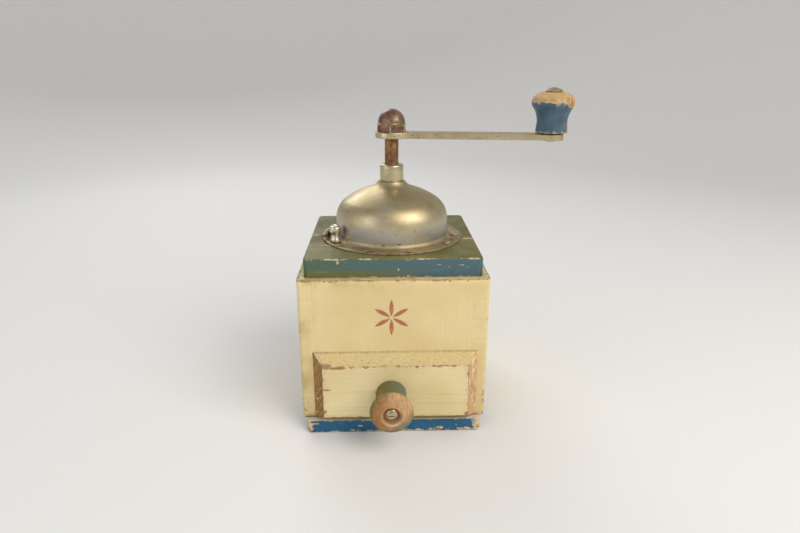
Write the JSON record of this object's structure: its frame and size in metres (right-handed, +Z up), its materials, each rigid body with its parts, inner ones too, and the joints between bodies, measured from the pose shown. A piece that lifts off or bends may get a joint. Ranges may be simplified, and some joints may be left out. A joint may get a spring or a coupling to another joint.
{
  "type": "hand crank coffee grinder",
  "caption": "Wooden box coffee mill with a closed metal dome hopper, a turning hatch, a top crank with a turned handle, a fluted cone burr and a bevelled drawer for the grounds.",
  "frame": {"origin": "on the crank's axis, on the surface that the base stands on", "axes": "+Z up along the shaft, -Y towards the drawer front, +X towards the crank's handle at rest"},
  "size_m": [0.1691, 0.149, 0.2078],
  "materials": {
    "cream_paint": "worn satin paint on wood",
    "lid_paint": "worn blue-green paint on wood",
    "blue_paint": "worn blue paint on wood",
    "handle_paint": "worn blue paint, bare wood on top",
    "pull_wood": "bare turned wood with remains of blue-green paint",
    "bare_wood": "bare sawn wood",
    "aged_nickel": "aged satin nickel plate",
    "rusty_steel": "rust brown steel",
    "plain_steel": "plain steel",
    "grey_iron": "ground cast iron",
    "bearing_brass": "turned brass"
  },
  "bodies": {
    "cabinet": {"front_board": "cream_paint", "back_board": "cream_paint", "left_board": "cream_paint", "right_board": "cream_paint", "base_board": "blue_paint", "top_board": "lid_paint", "drawer_runners": "bare_wood", "base_screws": "plain_steel", "dome": "aged_nickel", "dome_collar": "aged_nickel", "flange_screws": "rusty_steel", "ring_burr": "grey_iron", "bridge": "plain_steel", "bridge_screws": "plain_steel", "lower_bush": "bearing_brass", "adjuster_spring": "plain_steel"},
    "thrust": {"thrust_ball": "plain_steel"},
    "adjuster": {"adjusting_screw": "plain_steel"},
    "crank": {"main_shaft": "rusty_steel", "cone_burr": "grey_iron", "burr_pin": "plain_steel", "crank_arm": "aged_nickel", "cap_nut": "rusty_steel", "handle_pin": "plain_steel", "handle_washer": "plain_steel"},
    "handle": {"handle_knob": "handle_paint"},
    "hatch": {"hatch_shutter": "aged_nickel", "hatch_knob": "aged_nickel"},
    "drawer": {"drawer_front": "cream_paint", "drawer_left": "bare_wood", "drawer_right": "bare_wood", "drawer_back": "bare_wood", "drawer_bottom": "bare_wood", "drawer_pull": "pull_wood", "pull_screw": "aged_nickel"}
  },
  "joints": [
    {"name": "adjuster_lift", "type": "slide", "parent": "cabinet", "child": "thrust", "axis": [0, 0, 1], "range_m": [-0.0011, 0]},
    {"name": "adjuster_turn", "type": "hinge", "parent": "thrust", "child": "adjuster", "pos_m": [0, 0, 0.0564], "axis": [0, 0, 1], "range_deg": [-320, 0]},
    {"name": "crank_spin", "type": "hinge", "parent": "thrust", "child": "crank", "pos_m": [0, 0, 0.1766], "axis": [0, 0, 1], "continuous": true},
    {"name": "handle_spin", "type": "hinge", "parent": "crank", "child": "handle", "pos_m": [0.09855, -0.01297, 0.1811], "axis": [0, 0, 1], "continuous": true},
    {"name": "hatch_turn", "type": "hinge", "parent": "cabinet", "child": "hatch", "pos_m": [0, 0, 0.1112], "axis": [0, 0, 1], "range_deg": [-69, 0]},
    {"name": "drawer_slide", "type": "slide", "parent": "cabinet", "child": "drawer", "axis": [0, -1, 0], "range_m": [0, 0.085]}
  ],
  "couplings": [
    {"joint": "adjuster_turn", "follows": "adjuster_lift", "rad_per_m": 5026.5}
  ]
}
